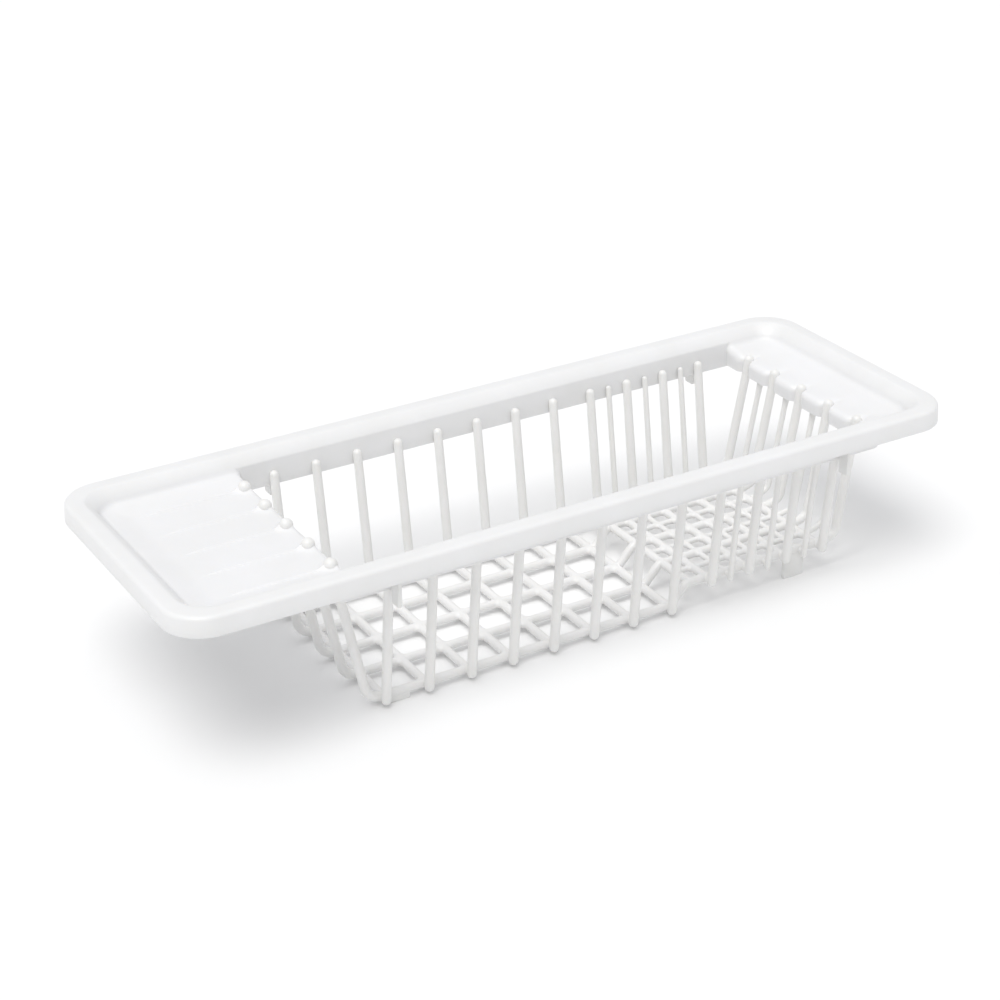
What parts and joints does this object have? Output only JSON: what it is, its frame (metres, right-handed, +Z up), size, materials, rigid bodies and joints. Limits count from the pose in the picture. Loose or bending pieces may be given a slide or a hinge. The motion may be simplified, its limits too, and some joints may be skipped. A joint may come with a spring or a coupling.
{
  "type": "dish drying rack",
  "caption": "Over-the-sink dish drainer: rounded rim with two side trays around an openwork basket with a stepped grid floor.",
  "frame": {"origin": "below the middle of the rim, in the plane of the four foot tips", "axes": "+X along the rack towards the end with the short tray and the raised floor, +Y to the back, +Z up"},
  "size_m": [0.498, 0.18, 0.1035],
  "materials": {
    "rim": "white polypropylene, satin gloss, moulded in one colour",
    "trays": "white polypropylene sheet, satin gloss, slightly sunken between the ribs",
    "bars": "white polypropylene, satin gloss, rounded bars",
    "floor": "white polypropylene, satin gloss, webbed crossings",
    "feet": "white polypropylene, thin moulded plates"
  },
  "bodies": {
    "root": {"back_bar_01": "bars", "back_bar_02": "bars", "back_bar_03": "bars", "back_bar_04": "bars", "back_bar_05": "bars", "back_bar_06": "bars", "back_bar_07": "bars", "back_bar_08": "bars", "back_bar_09": "bars", "back_bar_10": "bars", "back_bar_11": "bars", "back_bar_12": "bars", "back_left_fin": "feet", "back_left_foot": "feet", "back_right_fin": "feet", "back_right_foot": "feet", "back_side_band": "rim", "back_thin_bar_09": "bars", "back_thin_bar_10": "bars", "back_thin_bar_11": "bars", "floor_ramp": "floor", "front_bar_01": "bars", "front_bar_02": "bars", "front_bar_03": "bars", "front_bar_04": "bars", "front_bar_05": "bars", "front_bar_06": "bars", "front_bar_07": "bars", "front_bar_08": "bars", "front_bar_09": "bars", "front_bar_10": "bars", "front_bar_11": "bars", "front_bar_12": "bars", "front_left_fin": "feet", "front_left_foot": "feet", "front_right_fin": "feet", "front_right_foot": "feet", "front_side_band": "rim", "front_thin_bar_09": "bars", "front_thin_bar_10": "bars", "front_thin_bar_11": "bars", "left_end_bar_1": "bars", "left_end_bar_2": "bars", "left_end_bar_3": "bars", "left_end_bar_4": "bars", "left_end_bar_5": "bars", "left_tray": "trays", "low_floor_grid": "floor", "raised_floor_grid": "floor", "right_end_bar_1": "bars", "right_end_bar_2": "bars", "right_end_bar_3": "bars", "right_end_bar_4": "bars", "right_end_bar_5": "bars", "right_end_thin_bar_1": "bars", "right_end_thin_bar_2": "bars", "right_end_thin_bar_3": "bars", "right_end_thin_bar_4": "bars", "right_tray": "trays", "rim_frame": "rim"}
  },
  "joints": []
}
